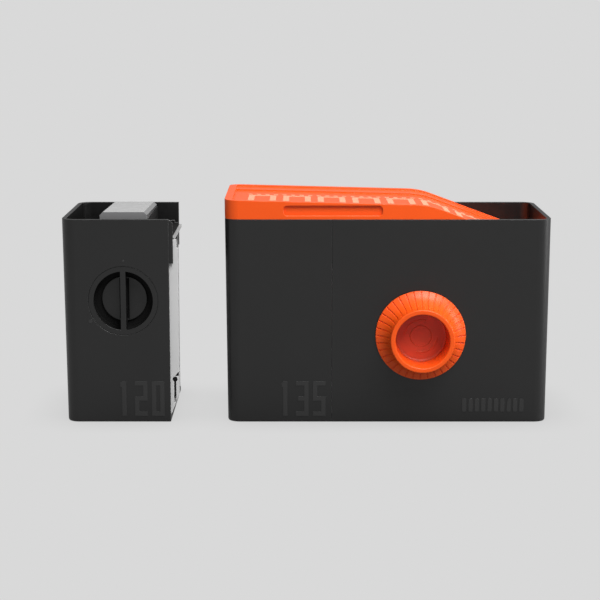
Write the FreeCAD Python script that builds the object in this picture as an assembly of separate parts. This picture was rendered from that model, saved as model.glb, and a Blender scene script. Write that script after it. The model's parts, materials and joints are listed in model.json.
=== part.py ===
"""Daylight film developing tank with two interchangeable loading modules.

Units are millimetres. +X is right, -Y is the front and +Z is up. The origin is the
centre of the base of the tank with its 35 mm module fitted. The medium-format module
stands to the left, in the orientation in which it would be fitted.
"""
import FreeCAD
import Part
import math
import os

V = FreeCAD.Vector
X_AXIS = V(1, 0, 0)
Y_AXIS = V(0, 1, 0)
Z_AXIS = V(0, 0, 1)
FAR = 400.0

# Tank and modules: outer envelope and walls
WIDTH = 190.0            # tank with one module fitted, at the rim
DEPTH = 88.0             # front to back, at the rim
RIM = 120.4              # rim height
DRAFT = 0.75             # how far a wall leans in at the base
LEFT_DRAFT = 1.15        # the same for a module's left wall
CORNER = 8.0             # plan corner radius
WALL = 2.4
FLOOR = 2.4
BASE_FILLET = 1.0
SEAM = -32.5             # plane where a module meets the tank
SEAM_GAP = 0.2
MODULE_SHIFT = -94.9     # free-standing module, measured from the fitted position
CLEAR = 0.3              # clearance between separate moulded parts
RUNNING = 0.05           # radial clearance of a running fit
RELIEF = 0.25            # height of raised marks

# Tongue of a module, hooked inside the tank's front wall
TONGUE_REACH = 2.3
TONGUE_LOW = 94.5
TONGUE_PLAY = 0.15
TONGUE_TOP = RIM - 0.8

# Lower part of a module's rear wall, cut back for a tab of the tank
REAR_STEP = 2.4
REAR_STEP_TOP = 93.6
REAR_STEP_IN = 40.6

# Inner left wall of the tank, with a pocket in front for the film guide's cheek
LEFT_WALL_TOP = 95.0
LEFT_WALL = 2.0
POCKET_REACH = 7.0
POCKET_IN = 38.3
RETURN_WALL = 2.0

# Film guide, measured from the seam plane
GUIDE_WEB = (-2.4, -0.4)
GUIDE_WEB_TOP = 98.0
CHEEK_OUT = 40.6
CHEEK = 1.9
CHEEK_REACH = 5.1
CHEEK_STEP_REACH = 4.3
CHEEK_STEP = 103.3
CHEEK_TOP = 108.2
CHEEK_LOW = 4.4
CHEEK_CHAMFER_TOP = 16.5
CHEEK_CHAMFER_IN = 0.4
STUD_X = SEAM + 2.5
STUD_Z = 25.2
CLICK_R = 1.4
SLIT = 1.2

# Reel, shaft and knob
AXIS_X = 19.4
AXIS_Z = 52.3
REEL_R = 46.0
CORE_R = 11.0
CORE_HALF = 36.5
FILM_NARROW = 35.0       # the reel is drawn set for this film width
GROOVE = 1.6
FLANGE = 2.2
HUB_WALL = 2.4
SHAFT_R = 4.5
BUSH_R = 7.0
HEX_AF = 7.6
HEX_PLAY = 0.1
STUB_R = 4.0
KNOB_BACK = -44.0
KNOB_R = 26.4
KNOB_RING_R = 18.5
KNOB_CUP_R = 15.7
KNOB_FLOOR_R = 15.0
KNOB_H = 19.5
KNOB_FLOOR = 2.6
KNOB_FLUTES = 36
FLUTE_WIDE = 0.75
FLUTE_DEPTH = 0.45
ARROW_R = 9.5            # raised arcs on the cup's floor that show it turns

# Lid
LID_GAP = 0.1
LID_LEFT_TOP = 131.7     # top line's height above the left end
LID_FALL = 0.0248        # slope of the long part
LID_DIP = 20.3           # slope of the pouring end, degrees
LID_CROSS = 46.0         # where the dipping end passes the rim
LID_BEND = 45.0
LID_END = 84.0
LID_WALL = 3.0
LID_BORDER = 4.1
LID_STEP = 1.0
LID_PANEL = 2.1          # panel below the border
LID_SKIN = 4.2           # underside below the border
LID_LEDGE = 14.0
DIP_HALF = 40.9
GRIP = (-60.75, -3.3, 122.5, 128.5)
GRIP_DEPTH = 1.5
PRINT = 0.12             # thickness of the printed film strip
FRAMES = 7
FRAME_START = -82.0
FRAME_PITCH = 20.7
FRAME_WIDE = 16.5
FRAME_LINE = 3.6         # width of a frame's printed outline
FRAME_FRONT = -29.0
FRAME_BACK = 4.4
HOLES = 4                # perforations to a frame

# Medium-format module, in the fitted position
DIAL_X = -59.5
DIAL_Z = 72.6
DIAL_FACE = -43.6
DIAL_R = 20.3
DIAL_OPEN_R = 17.35
DISC_R = 13.1
DISC_DEPTH = 8.3
CUP_DEPTH = 10.9
BAR = 3.1
BAR_GROOVE = 1.2
SPOOL_R = 13.0
BOX_WALL = 1.4
BOX_FRONT = -32.3
BOX_BACK = 35.9
BOX_TOP = 118.5
FLAP_X = SEAM - 7.0      # film flap's hinge
FLAP_Z = 107.3
LIP = (SEAM + 1.0, SEAM + 2.3)
LIP_HALF = 31.0

# 35 mm module
CASSETTE_X = -66.0
CASSETTE_Z = 88.0
CASSETTE_R = 13.2
CUTTER_X = -42.0

os.makedirs("parts", exist_ok=True)
parts = {}


# ---------------------------------------------------------------- helpers
def box(x0, x1, y0, y1, z0, z1):
    return Part.makeBox(x1 - x0, y1 - y0, z1 - z0, V(x0, y0, z0))


def rod_y(x, z, r, y0, y1):
    return Part.makeCylinder(r, y1 - y0, V(x, y0, z), Y_AXIS)


def rod_z(x, y, r, z0, z1):
    return Part.makeCylinder(r, z1 - z0, V(x, y, z0), Z_AXIS)


def ring_y(x, z, r_out, r_in, y0, y1):
    return rod_y(x, z, r_out, y0, y1).cut(rod_y(x, z, r_in, y0 - 1, y1 + 1))


def prism_y(points, y0, y1):
    """Polygon of (x, z) points, extruded from y0 to y1."""
    corners = [V(x, y0, z) for x, z in points]
    face = Part.Face(Part.makePolygon(corners + corners[:1]))
    return face.extrude(V(0, y1 - y0, 0))


def rounded_y(x0, x1, z0, z1, r, y0, y1):
    """Rounded rectangle in the XZ plane, extruded from y0 to y1."""
    wide = box(x0, x1, y0, y1, z0 + r, z1 - r)
    tall = box(x0 + r, x1 - r, y0, y1, z0, z1)
    ends = [rod_y(x, z, r, y0, y1) for x in (x0 + r, x1 - r) for z in (z0 + r, z1 - r)]
    return wide.multiFuse([tall] + ends).removeSplitter()


def rounded_z(x0, x1, y0, y1, r, z0, z1):
    """Rounded rectangle in the XY plane, extruded from z0 to z1."""
    wide = box(x0, x1, y0 + r, y1 - r, z0, z1)
    tall = box(x0 + r, x1 - r, y0, y1, z0, z1)
    ends = [rod_z(x, y, r, z0, z1) for x in (x0 + r, x1 - r) for y in (y0 + r, y1 - r)]
    return wide.multiFuse([tall] + ends).removeSplitter()


def union(shapes):
    first, *rest = shapes
    return first.multiFuse(rest).removeSplitter() if rest else first


def mirrored(shape):
    """The shape and its mirror image front to back, joined."""
    return [shape, shape.mirror(V(0, 0, 0), Y_AXIS)]


def moved(shape, dx=0.0, dy=0.0, dz=0.0):
    copy = shape.copy()
    copy.translate(V(dx, dy, dz))
    return copy


def turned(shape, x, z, degrees):
    """A copy turned about the Y line through (x, z)."""
    copy = shape.copy()
    copy.rotate(V(x, 0, z), Y_AXIS, degrees)
    return copy


def lean(z, draft=DRAFT):
    return draft * (1.0 - z / RIM)


def outline(inset, z):
    """The body's rounded outline at height z, drawn in by inset."""
    draw = inset + lean(z)
    half_x = {1: WIDTH / 2 - draw, -1: WIDTH / 2 - inset - lean(z, LEFT_DRAFT)}
    hy = DEPTH / 2 - draw
    r = CORNER - draw
    k = r * (1 - math.sqrt(0.5))
    edges = []
    corners = ((1, 1), (-1, 1), (-1, -1), (1, -1))
    for index, (sx, sy) in enumerate(corners):
        nx, ny = corners[(index + 1) % 4]
        hx = half_x[sx]
        along_x = V(sx * (hx - r), sy * hy, z)
        along_y = V(sx * hx, sy * (hy - r), z)
        first, last = (along_y, along_x) if sx == sy else (along_x, along_y)
        edges.append(Part.Arc(first, V(sx * (hx - k), sy * (hy - k), z), last).toShape())
        next_x = half_x[nx]
        step = V(nx * (next_x - r), ny * hy, z) if ny == sy else V(nx * next_x, ny * (hy - r), z)
        edges.append(Part.makeLine(last, step))
    return Part.Wire(edges)


def block(inset, z0, z1):
    """The drafted body between two heights, drawn in by inset."""
    return Part.makeLoft([outline(inset, z0), outline(inset, z1)], True, True)


def relief(shape):
    """The part of a shape that stands proud of the drafted outer walls by RELIEF."""
    skin = block(-RELIEF, -1, RIM + 5).cut(block(0, -2, RIM + 6))
    return skin.common(shape)


def keep(name, shape):
    parts[name] = shape


# ---------------------------------------------------------------- tank
def filleted_block():
    body = block(0, 0, RIM)
    low = [e for e in body.Edges if abs(e.BoundBox.ZMax) < 1e-6]
    return body.makeFillet(BASE_FILLET, low)


def tank_body():
    outer = filleted_block().common(box(SEAM + SEAM_GAP / 2, FAR, -FAR, FAR, -1, FAR))
    inside = block(WALL, FLOOR, RIM + 5)
    left = SEAM + SEAM_GAP / 2 + LEFT_WALL
    pocket_end = SEAM + POCKET_REACH
    side = pocket_end + RETURN_WALL
    pocket_walls = box(SEAM - 5, side, -FAR, -POCKET_IN + RETURN_WALL, -1, FAR)
    chamber = inside.common(box(left, FAR, -FAR, FAR, 0, FAR)).cut(pocket_walls)
    pocket = inside.common(box(SEAM - 5, pocket_end, -FAR, -POCKET_IN, 0, FAR))
    mouth = inside.common(box(SEAM - 5, side + 0.1, -FAR, FAR, LEFT_WALL_TOP, FAR))
    notch_end = SEAM + TONGUE_REACH + CLEAR
    notch = block(WALL / 2, 0, RIM + 5)
    notch = notch.common(box(SEAM - 5, notch_end, -FAR, 0, TONGUE_LOW - CLEAR, FAR))
    body = outer.cut(union([chamber, pocket]))
    body = body.cut(union([mouth, notch]))
    shaft_hole = rod_y(AXIS_X, AXIS_Z, BUSH_R + RUNNING, -DEPTH, 0)
    ledge_x = WIDTH / 2 - WALL - lean(80) - 1.2
    ribs = [box(ledge_x, FAR, y - 1.0, y + 1.0, 20, 84) for y in (-24, 0, 24)]
    marks = [box(ledge_x, FAR, -12, 12, z, z + 1.2) for z in (40, 62)]
    ribs = block(WALL, FLOOR, RIM).common(union(ribs + marks))
    return body.cut(shaft_hole).multiFuse([ribs, rear_tab()]).removeSplitter()


def rear_tab():
    """Part of the tank's rear wall that laps past the seam, behind a module's film guide."""
    zone = box(SEAM - REAR_STEP + SEAM_GAP, SEAM + 1, REAR_STEP_IN + SEAM_GAP, FAR,
               -1, REAR_STEP_TOP - SEAM_GAP)
    return filleted_block().cut(block(WALL, FLOOR, RIM + 5)).common(zone)


def light_baffle():
    """Sloping shelf at the pouring end that lets liquid pass and stops light."""
    plate = prism_y([(71, 83.0), (93.5, 91.2), (93.5, 93.0), (71, 84.8)], -FAR, FAR)
    lip = box(71, 72.8, -FAR, FAR, 78.5, 84.8)
    shelf = block(WALL + 0.05, 70, 100).common(union([plate, lip]))
    slots = [box(78, 88, y - 6, y + 6, 70, 100) for y in (-26, 0, 26)]
    return shelf.cut(union(slots))


def knob_bush():
    sleeve = rod_y(AXIS_X, AXIS_Z, BUSH_R, -43.4, -38.4)
    flange = rod_y(AXIS_X, AXIS_Z, 9.5, -41.05, -39.6)
    bore = rod_y(AXIS_X, AXIS_Z, SHAFT_R + RUNNING, -50, -30)
    seat = rod_y(AXIS_X, AXIS_Z, 6.1, -50, -41.6)
    return sleeve.fuse(flange).cut(bore).cut(seat).removeSplitter()


def shaft_seal():
    return ring_y(AXIS_X, AXIS_Z, 6.1, SHAFT_R + RUNNING, -43.35, -41.6)


def rear_pivot():
    """Fixed pivot on the back wall that carries the reel core's rear end."""
    pad = rod_y(AXIS_X, AXIS_Z, 9.0, 39.4, 41.0)
    pin = rod_y(AXIS_X, AXIS_Z, STUB_R, 29.0, 39.4)
    collar = rod_y(AXIS_X, AXIS_Z, 6.5, 37.0, 39.4)
    return union([pad, pin, collar])


def rear_pivot_screws():
    """Two countersunk screws that hold the rear pivot to the back wall."""
    return Part.makeCompound([rod_y(AXIS_X + dx, AXIS_Z, 1.1, 38.2, 39.4)
                              for dx in (-7.7, 7.7)])


def tank_mark():
    """Plain raised row of rounded bars, low on the tank's front right."""
    bars = [rounded_y(x, x + 2.5, 6.2, 14.2, 0.8, -60, -30)
            for x in [44.4 + 3.75 * i for i in range(10)]]
    return relief(Part.makeCompound(bars))


# ---------------------------------------------------------------- reel
def spiral_rib(r_in, r_out, pitch, thick, y0, y1):
    """Spiral wall made of half-circle arcs about two centres."""
    shift = pitch / 4
    edges_out = []
    edges_in = []
    radius = r_in
    sign = 1
    while radius + thick <= r_out:
        centre = AXIS_X + sign * shift
        for r, edges in ((radius + thick, edges_out), (radius, edges_in)):
            start = V(centre - sign * r, y0, AXIS_Z)
            middle = V(centre, y0, AXIS_Z + sign * r)
            end = V(centre + sign * r, y0, AXIS_Z)
            edges.append(Part.Arc(start, middle, end).toShape())
        radius += pitch / 2
        sign = -sign
    first = Part.makeLine(edges_in[0].Vertexes[0].Point, edges_out[0].Vertexes[0].Point)
    last = Part.makeLine(edges_in[-1].Vertexes[-1].Point, edges_out[-1].Vertexes[-1].Point)
    wire = Part.Wire(Part.__sortEdges__(edges_in + edges_out + [first, last]))
    return Part.Face(wire).extrude(V(0, y1 - y0, 0))


def reel_half():
    """Front half of the reel, set for narrow film: disc, spiral groove walls and hub."""
    inner = -FILM_NARROW / 2
    face = inner - GROOVE
    back = face - FLANGE
    hub_end = back - 3.2
    disc = rod_y(AXIS_X, AXIS_Z, REEL_R, back, face)
    rim = ring_y(AXIS_X, AXIS_Z, REEL_R, REEL_R - 1.6, face, inner)
    hub = rod_y(AXIS_X, AXIS_Z, CORE_R + 0.1 + HUB_WALL, hub_end, inner)
    rib = spiral_rib(17.0, REEL_R - 2.0, 3.2, 0.9, face - 0.2, inner)
    windows = []
    for index in range(6):
        slot = prism_y([(AXIS_X - 3.5, AXIS_Z + 19), (AXIS_X + 3.5, AXIS_Z + 19),
                        (AXIS_X + 7.0, AXIS_Z + 39), (AXIS_X - 7.0, AXIS_Z + 39)],
                       back - 1, face - 0.2)
        windows.append(turned(slot, AXIS_X, AXIS_Z, 30 + 60 * index))
    disc = disc.cut(union(windows))
    half = union([disc, rim, hub, rib])
    bore = rod_y(AXIS_X, AXIS_Z, CORE_R + 0.1, hub_end - 1, inner + 1)
    keyway = box(AXIS_X - 1.7, AXIS_X + 1.7, hub_end - 1, inner + 1,
                 AXIS_Z - CORE_R - 1.5, AXIS_Z + CORE_R + 1.5)
    entry = prism_y([(AXIS_X - 5, AXIS_Z + REEL_R + 1), (AXIS_X + 5, AXIS_Z + REEL_R + 1),
                     (AXIS_X + 9, AXIS_Z + REEL_R - 3.2), (AXIS_X - 5, AXIS_Z + REEL_R - 3.2)],
                    face, inner + 1)
    return half.cut(union([bore, keyway])).cut(entry)


def hexagon(af, y0, y1):
    radius = af / math.sqrt(3)
    corners = [(AXIS_X + radius * math.cos(math.radians(60 * i)),
                AXIS_Z + radius * math.sin(math.radians(60 * i))) for i in range(6)]
    return prism_y(corners, y0, y1)


def reel_core():
    tube = rod_y(AXIS_X, AXIS_Z, CORE_R, -CORE_HALF, CORE_HALF)
    keys = box(AXIS_X - 1.5, AXIS_X + 1.5, -CORE_HALF, CORE_HALF,
               AXIS_Z - CORE_R - 1.2, AXIS_Z + CORE_R + 1.2)
    ring_room = rod_y(AXIS_X, AXIS_Z, 6.4, -CORE_HALF - 1, -23)
    socket = hexagon(HEX_AF + 2 * HEX_PLAY, -24, -9.5)
    rear = rod_y(AXIS_X, AXIS_Z, STUB_R + RUNNING, 28, CORE_HALF + 1)
    collar_room = rod_y(AXIS_X, AXIS_Z, 6.6, CORE_HALF - 0.2, CORE_HALF + 1)
    return tube.fuse(keys).cut(union([ring_room, socket])).cut(rear.fuse(collar_room))


def core_clip():
    """Spring strip that pinches the film's end against the core."""
    band = ring_y(AXIS_X, AXIS_Z, CORE_R + 0.65, CORE_R + 0.05, -9, 9)
    sector = prism_y([(AXIS_X, AXIS_Z), (AXIS_X + 30, AXIS_Z - 20), (AXIS_X + 30, AXIS_Z + 20)],
                     -10, 10)
    hook = box(AXIS_X + 9.6, AXIS_X + CORE_R + 2.0, -6, 6, AXIS_Z + 5.6, AXIS_Z + 6.2)
    return band.common(sector).fuse(hook).removeSplitter()


# ---------------------------------------------------------------- knob
def knob_profile(grow):
    """Concave flank from the rim of the flange up to the front ring, moved out by grow."""
    start = V(KNOB_R - 0.5 + grow, KNOB_BACK - 1.3, 0)
    middle = V(20.9 + grow, KNOB_BACK - 5.6, 0)
    end = V(KNOB_RING_R - 0.1 + grow, KNOB_BACK - 15.2, 0)
    return start, middle, end


def knob_arc(start_angle, floor):
    """Low raised arc on the cup's floor, a little over a quarter turn long."""
    arc = ring_y(0, 0, ARROW_R + 0.4, ARROW_R - 0.4, floor - 0.25, floor + 0.5)
    reach = 2 * ARROW_R
    first, last = (math.radians(start_angle + turn) for turn in (0, 100))
    middle = (first + last) / 2
    wedge = [(0, 0)] + [(reach * math.cos(a), reach * math.sin(a)) for a in (first, middle, last)]
    return arc.common(prism_y(wedge, floor - 1, floor + 1))


def winding_knob():
    """Cup-shaped knob turned about Y, with a flared fluted flank and a flat front ring."""
    start, middle, end = knob_profile(0)
    front = KNOB_BACK - KNOB_H
    floor = KNOB_BACK - KNOB_FLOOR
    path = [V(0, KNOB_BACK, 0), V(KNOB_R - 0.5, KNOB_BACK, 0)]
    edges = [Part.makeLine(*path)]
    edges.append(Part.Arc(path[1], V(KNOB_R, KNOB_BACK - 0.65, 0), start).toShape())
    edges.append(Part.Arc(start, middle, end).toShape())
    ring_side = V(KNOB_RING_R, front + 0.6, 0)
    edges.append(Part.makeLine(end, ring_side))
    ring_top = V(KNOB_RING_R - 0.6, front, 0)
    edges.append(Part.Arc(ring_side, V(KNOB_RING_R - 0.18, front + 0.18, 0), ring_top).toShape())
    lip = V(KNOB_CUP_R + 0.5, front, 0)
    edges.append(Part.makeLine(ring_top, lip))
    cup_top = V(KNOB_CUP_R, front + 0.5, 0)
    edges.append(Part.Arc(lip, V(KNOB_CUP_R + 0.15, front + 0.15, 0), cup_top).toShape())
    cup_low = V(KNOB_FLOOR_R, floor - 1.4, 0)
    edges.append(Part.makeLine(cup_top, cup_low))
    cup_floor = V(KNOB_FLOOR_R - 1.5, floor, 0)
    edges.append(Part.Arc(cup_low, V(KNOB_FLOOR_R - 0.4, floor - 0.45, 0), cup_floor).toShape())
    centre = V(0, floor, 0)
    edges.append(Part.makeLine(cup_floor, centre))
    edges.append(Part.makeLine(centre, path[0]))
    body = Part.Face(Part.Wire(edges)).revolve(V(0, 0, 0), Y_AXIS, 360)
    flutes = []
    start, middle, end = knob_profile(-FLUTE_DEPTH)
    start.y = KNOB_BACK - 0.9
    flank = Part.Arc(start, middle, end).toShape()
    outer = [V(end.x, end.y - 1.2, 0), V(KNOB_R + 2, end.y - 1.2, 0), V(KNOB_R + 2, start.y, 0)]
    wall = [flank, Part.makeLine(end, outer[0]), Part.makeLine(outer[0], outer[1]),
            Part.makeLine(outer[1], outer[2]), Part.makeLine(outer[2], start)]
    groove = Part.Face(Part.Wire(wall)).extrude(V(0, 0, FLUTE_WIDE))
    groove.translate(V(0, 0, -FLUTE_WIDE / 2))
    for index in range(KNOB_FLUTES):
        tool = groove.copy()
        tool.rotate(V(0, 0, 0), Y_AXIS, 360.0 / KNOB_FLUTES * index)
        flutes.append(tool)
    body = body.cut(Part.makeCompound(flutes))
    arcs = [knob_arc(start_angle, floor) for start_angle in (74, 254)]
    body = union([body] + arcs)
    body.translate(V(AXIS_X, 0, AXIS_Z))
    screw_hole = rod_y(AXIS_X, AXIS_Z, 1.7, KNOB_BACK - 10, KNOB_BACK + 1)
    seat = rod_y(AXIS_X, AXIS_Z, 6.3, KNOB_BACK - 10, floor + 1.0)
    shaft_seat = rod_y(AXIS_X, AXIS_Z, SHAFT_R + 0.02, KNOB_BACK - 0.6, KNOB_BACK + 1)
    return body.cut(union([screw_hole, seat, shaft_seat]))


def knob_cover():
    """Disc in the cup's floor over the fixing screw."""
    return rod_y(AXIS_X, AXIS_Z, 6.2, KNOB_BACK - KNOB_FLOOR - 0.05, KNOB_BACK - KNOB_FLOOR + 0.95)


def knob_screw():
    """Screw that fixes the knob to the shaft's end, under the cover."""
    return rod_y(AXIS_X, AXIS_Z, 1.5, KNOB_BACK - 1.2, KNOB_BACK + 9)


def drive_shaft():
    """Shaft with a hexagonal end that turns the reel core."""
    body = rod_y(AXIS_X, AXIS_Z, SHAFT_R, KNOB_BACK - 0.6, -24.0)
    tip = hexagon(HEX_AF, -24.0, -11.6)
    groove = ring_y(AXIS_X, AXIS_Z, SHAFT_R + 1, SHAFT_R - 0.7, -25.6, -24.6)
    hole = rod_y(AXIS_X, AXIS_Z, 1.5, KNOB_BACK - 2, KNOB_BACK + 9)
    return body.fuse(tip).cut(union([groove, hole]))


def shaft_ring():
    """Split ring that stops the shaft from being pulled right out."""
    ring = ring_y(AXIS_X, AXIS_Z, 6.0, SHAFT_R - 0.65, -25.5, -24.7)
    return ring.cut(box(AXIS_X - 1.2, AXIS_X + 1.2, -30, -20, AXIS_Z, AXIS_Z + 10))


# ---------------------------------------------------------------- lid
def lid_long(x):
    return LID_LEFT_TOP - LID_FALL * (x + WIDTH / 2)


def lid_dip(x):
    return RIM - math.tan(math.radians(LID_DIP)) * (x - LID_CROSS)


def under_lid(drop, x0, x1, half_y, low):
    """Everything under the lid's top line, lowered by drop, between two x limits."""
    tan_dip = math.tan(math.radians(LID_DIP))
    meet = (lid_dip(0) - lid_long(0)) / (tan_dip - LID_FALL)
    turn = math.radians(LID_DIP) - math.atan(LID_FALL)
    run = LID_BEND * math.tan(turn / 2)
    first = V(meet - run, 0, lid_long(meet - run) - drop)
    last_x = meet + run * math.cos(math.radians(LID_DIP))
    last = V(last_x, 0, lid_dip(last_x) - drop)
    bulge = LID_BEND * (1 / math.cos(turn / 2) - 1)
    middle = V(meet + 0.18 * bulge, 0, lid_long(meet) - drop - bulge)
    start = V(-FAR, 0, lid_long(-FAR) - drop)
    end = V(FAR, 0, lid_dip(FAR) - drop)
    floor = [V(FAR, 0, -FAR), V(-FAR, 0, -FAR)]
    edges = [Part.makeLine(start, first), Part.Arc(first, middle, last).toShape(),
             Part.makeLine(last, end), Part.makeLine(end, floor[0]),
             Part.makeLine(floor[0], floor[1]), Part.makeLine(floor[1], start)]
    solid = Part.Face(Part.Wire(edges)).extrude(V(0, 2 * half_y, 0))
    solid.translate(V(0, -half_y, 0))
    return solid.common(box(x0, x1, -half_y, half_y, low, FAR))


def lid_cover():
    seat = RIM + LID_GAP
    skirt = block(0, seat, 145).common(under_lid(0, -FAR, LID_CROSS + 1, DEPTH, seat))
    hollow = block(LID_WALL, seat - 1, 146).common(
        under_lid(LID_SKIN, -FAR, FAR, DEPTH, seat - 1))
    dip = under_lid(0, 16, LID_END, DIP_HALF, 90)
    dip = dip.cut(under_lid(LID_SKIN, 0, FAR, DEPTH, 80))
    end_lip = under_lid(1.0, LID_END - 2.0, LID_END, DIP_HALF, 97.5)
    cover = union([skirt.cut(hollow), dip, end_lip])
    left = -WIDTH / 2 + LID_BORDER + 0.3
    edge = DEPTH / 2 - LID_BORDER
    first_step = under_lid(-20, left, FAR, edge, 60).cut(under_lid(LID_STEP, -FAR, FAR, DEPTH, 50))
    second = under_lid(-20, left, FAR, edge, 60).cut(under_lid(LID_PANEL, -FAR, FAR, DEPTH, 50))
    second = second.common(box(-FAR, FAR, -FAR, edge - LID_LEDGE, -FAR, FAR))
    cover = cover.cut(first_step).cut(second)
    x0, x1, z0, z1 = GRIP
    grip = rounded_y(x0, x1, z0, z1, 2.2, -DEPTH, -DEPTH / 2 + GRIP_DEPTH)
    return cover.cut(union(mirrored(grip)))


def lid_film_print():
    """Printed film strip along the lid's panel and down its dip: frames and perforations."""
    layer = under_lid(LID_PANEL - PRINT, -FAR, FAR, DEPTH, 60)
    layer = layer.cut(under_lid(LID_PANEL, -FAR, FAR, DEPTH, 50))
    marks = []
    for index in range(FRAMES):
        x = FRAME_START + index * FRAME_PITCH
        frame = rounded_z(x, x + FRAME_WIDE, FRAME_FRONT, FRAME_BACK, 2.0, 60, 160)
        line = FRAME_LINE
        marks.append(frame.cut(rounded_z(x + line, x + FRAME_WIDE - line, FRAME_FRONT + line,
                                         FRAME_BACK - line, 1.0, 59, 161)))
        for hole in range(HOLES):
            left = x - 0.6 + hole * FRAME_PITCH / HOLES
            for y in (FRAME_FRONT - 5.8, FRAME_BACK + 2.6):
                marks.append(rounded_z(left, left + 2.6, y, y + 3.2, 0.7, 60, 160))
    return layer.common(Part.makeCompound(marks))


def lid_liner():
    """Black light-trap frame inside the lid that drops inside the walls."""
    frame = block(LID_WALL + 0.05, 112, 121.9).cut(block(LID_WALL + 1.6, 111, 123))
    right = box(28.4, 30.0, -DEPTH / 2 + LID_WALL + 1, DEPTH / 2 - LID_WALL - 1, 112, 121.9)
    return frame.common(box(-FAR, 30.0, -FAR, FAR, 0, FAR)).fuse(right).removeSplitter()


def lid_felt():
    """Felt strip under the end of the dip."""
    return box(LID_END - 2.0, LID_END, -DIP_HALF + 0.5, DIP_HALF - 0.5, 95.6, 97.5)


# ---------------------------------------------------------------- modules, shared
def module_shell():
    """Open-sided shell in the fitted position: left, front and back walls and floor."""
    side = box(-FAR, SEAM - SEAM_GAP / 2, -FAR, FAR, -1, FAR)
    shell = filleted_block().cut(block(WALL, FLOOR, RIM + 5)).common(side)
    end = SEAM + TONGUE_REACH
    zone = prism_y([(SEAM - 1.2, TONGUE_LOW), (end, TONGUE_LOW), (end, TONGUE_TOP - 1.5),
                    (end - 1.5, TONGUE_TOP), (SEAM - 1.2, TONGUE_TOP)], -FAR, 0)
    tongue = block(WALL / 2 + TONGUE_PLAY, -1, RIM).cut(block(WALL, -2, RIM + 5)).common(zone)
    rebate = box(SEAM - REAR_STEP, SEAM + 1, REAR_STEP_IN, FAR, -1, REAR_STEP_TOP)
    return shell.fuse(tongue).cut(rebate).removeSplitter()


def film_guide(slot_half):
    """Upright web with a post at the rear and a cheek in front; film leaves over the web."""
    w0, w1 = (SEAM + u for u in GUIDE_WEB)
    web = box(w0, w1, -CHEEK_OUT, CHEEK_OUT, FLOOR + 0.1, GUIDE_WEB_TOP)
    lead = rod_y(w1 - 1.0, GUIDE_WEB_TOP, 1.6, -slot_half, slot_half)
    ears = mirrored(box(w0, w1, slot_half + 0.8, CHEEK_OUT, GUIDE_WEB_TOP - 1, CHEEK_TOP - 6))
    post = box(w0, w1, CHEEK_OUT - CHEEK, CHEEK_OUT, GUIDE_WEB_TOP - 1, CHEEK_TOP)
    points = [(w0, CHEEK_LOW), (SEAM + CHEEK_CHAMFER_IN, CHEEK_LOW),
              (SEAM + CHEEK_REACH, CHEEK_CHAMFER_TOP), (SEAM + CHEEK_REACH, CHEEK_STEP),
              (SEAM + CHEEK_STEP_REACH, CHEEK_STEP), (SEAM + CHEEK_STEP_REACH, CHEEK_TOP),
              (w0, CHEEK_TOP)]
    cheek = prism_y(points, -CHEEK_OUT, -CHEEK_OUT + CHEEK)
    foot = box(w0 - 9, w1, -30, 30, FLOOR + 0.1, FLOOR + 2.1)
    gussets = [prism_y([(w0 - 8, FLOOR + 2.1), (w0, FLOOR + 2.1), (w0, FLOOR + 14)], y - 0.8, y + 0.8)
               for y in (-28, 0, 28)]
    body = union([web, lead, foot, post, cheek] + ears + gussets)
    stud = rod_y(STUD_X, STUD_Z, CLICK_R + RUNNING, -CHEEK_OUT - 1, -CHEEK_OUT + CHEEK + 1)
    slit = box(STUD_X - SLIT / 2, STUD_X + SLIT / 2, -CHEEK_OUT - 1, -CHEEK_OUT + CHEEK + 1,
               11.3, STUD_Z)
    return body.cut(union([stud, slit, click_ramp(-CHEEK_OUT - 1)]))


def click_ramp(out):
    """Small wedge set into the cheek above its stud."""
    return prism_y([(STUD_X, STUD_Z + 2.0), (STUD_X + 2.2, STUD_Z + 2.0), (STUD_X + 2.2, STUD_Z + 4.4)],
                   out, -CHEEK_OUT + CHEEK)


def click_stud():
    """Small stud on a blade in the cheek's slit that clicks the module into the tank."""
    stud = rod_y(STUD_X, STUD_Z, CLICK_R, -CHEEK_OUT, -CHEEK_OUT + CHEEK)
    blade = box(STUD_X - SLIT / 2, STUD_X + SLIT / 2, -CHEEK_OUT + 0.4, -CHEEK_OUT + CHEEK,
                13.6, STUD_Z)
    return Part.makeCompound([stud.fuse(blade).removeSplitter(), click_ramp(-CHEEK_OUT)])


def guide_screws():
    """Two screws, up through the floor into the guide's foot."""
    screws = []
    for y in (-22, 22):
        head = rod_z(SEAM - 7.5, y, 2.6, 0.3, 1.5)
        shank = rod_z(SEAM - 7.5, y, 1.2, 1.5, FLOOR + 2.1)
        cross = [box(SEAM - 9.1, SEAM - 5.9, y - 0.35, y + 0.35, 0, 0.8),
                 box(SEAM - 7.85, SEAM - 7.15, y - 1.6, y + 1.6, 0, 0.8)]
        screws.append(head.fuse(shank).cut(union(cross)))
    return Part.makeCompound(screws)


def screw_room():
    """Material taken out of the floor and the guide's foot for the screws."""
    rooms = []
    for y in (-22, 22):
        rooms.append(rod_z(SEAM - 7.5, y, 2.7, -1, 1.5))
        rooms.append(rod_z(SEAM - 7.5, y, 1.2, 1, FLOOR + 3))
    return union(rooms)


def digit(strokes, x, z, wide, high, pen):
    """Block digit made of square strokes; each is (column, row, columns, rows) in halves."""
    boxes = []
    for col, row, cols, rows in strokes:
        x0 = x + col * (wide - pen) / 2
        z0 = z + row * (high - pen) / 2
        boxes.append(box(x0, x0 + pen + cols * (wide - pen) / 2, -60, -30,
                         z0, z0 + pen + rows * (high - pen) / 2))
    return union(boxes)


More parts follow.
